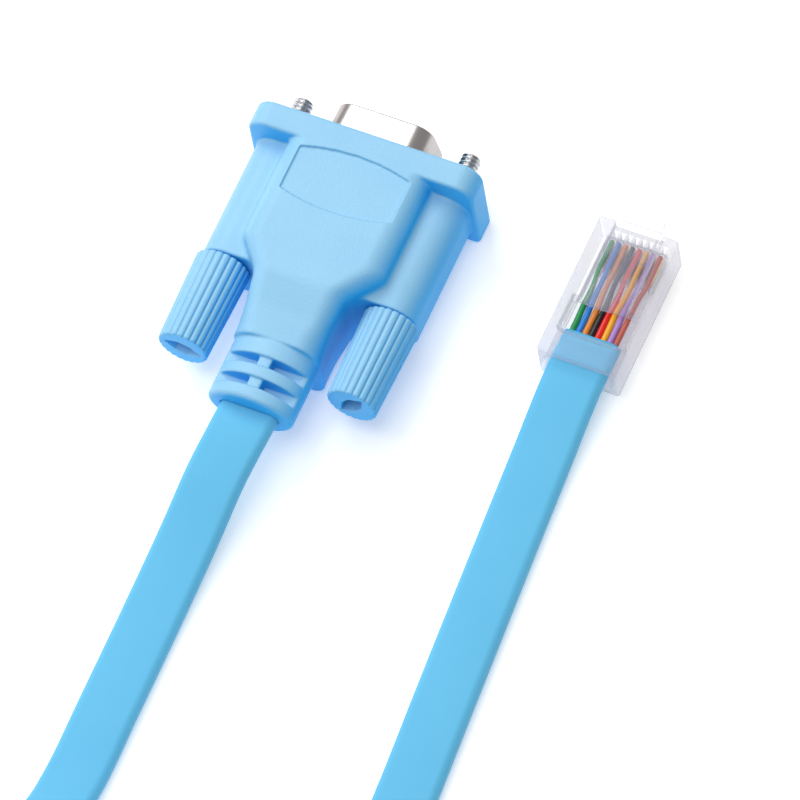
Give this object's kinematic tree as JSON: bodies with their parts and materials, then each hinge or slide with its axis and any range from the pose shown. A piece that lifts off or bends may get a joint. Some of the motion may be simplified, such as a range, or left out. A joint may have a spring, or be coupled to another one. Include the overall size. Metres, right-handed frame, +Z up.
{
  "type": "rj45 console cable",
  "caption": "Flat blue console cable with a screw-down D-sub socket hood at one end and a clear latching modular plug at the other.",
  "frame": {"origin": "middle of the D-sub connector's footprint on the floor", "axes": "+Y the way the D-sub connector mates, +Z up from the hood's broad underside"},
  "size_m": [0.0954, 0.2153, 0.0196],
  "materials": {
    "hood_plastic": "fine texture",
    "jacket": "satin",
    "nickel": "bright nickel plating",
    "steel": "nickel plated thread",
    "gold": "gold flash",
    "insulator": "moulded",
    "clear_plastic": "clear",
    "tie": "hook and loop tape",
    "core_green": "satin",
    "core_blue": "satin",
    "core_orange": "satin",
    "core_black": "satin",
    "core_red": "satin",
    "core_yellow": "satin",
    "core_violet": "satin",
    "core_brown": "satin"
  },
  "bodies": {
    "cable_assembly": {"hood": "hood_plastic", "d_shell": "nickel", "socket_block": "insulator", "socket_contact_1": "gold", "socket_contact_2": "gold", "socket_contact_3": "gold", "socket_contact_4": "gold", "socket_contact_5": "gold", "socket_contact_6": "gold", "socket_contact_7": "gold", "socket_contact_8": "gold", "socket_contact_9": "gold", "cable_to_hood": "jacket", "cable_coil": "jacket", "cable_to_plug": "jacket", "coil_tie": "tie", "plug_body": "clear_plastic", "plug_contact_1": "gold", "plug_contact_2": "gold", "plug_contact_3": "gold", "plug_contact_4": "gold", "plug_contact_5": "gold", "plug_contact_6": "gold", "plug_contact_7": "gold", "plug_contact_8": "gold", "wire_1": "core_green", "wire_2": "core_blue", "wire_3": "core_orange", "wire_4": "core_black", "wire_5": "core_red", "wire_6": "core_yellow", "wire_7": "core_violet", "wire_8": "core_brown"},
    "left_thumbscrew": {"left_screw": "steel", "left_knob": "hood_plastic"},
    "right_thumbscrew": {"right_screw": "steel", "right_knob": "hood_plastic"},
    "latch": {"plug_latch": "clear_plastic"}
  },
  "joints": [
    {"name": "left_thumbscrew_turn", "type": "hinge", "parent": "cable_assembly", "child": "left_thumbscrew", "pos_m": [-0.01249, 0, 0.007], "axis": [0, 1, 0], "continuous": true},
    {"name": "right_thumbscrew_turn", "type": "hinge", "parent": "cable_assembly", "child": "right_thumbscrew", "pos_m": [0.01249, 0, 0.007], "axis": [0, 1, 0], "continuous": true},
    {"name": "latch_press", "type": "hinge", "parent": "cable_assembly", "child": "latch", "pos_m": [0.0379, 0.0224, 0.0056], "axis": [1, 0, 0], "range_deg": [0, 8], "stiffness_Nm_per_rad": 0.02}
  ]
}
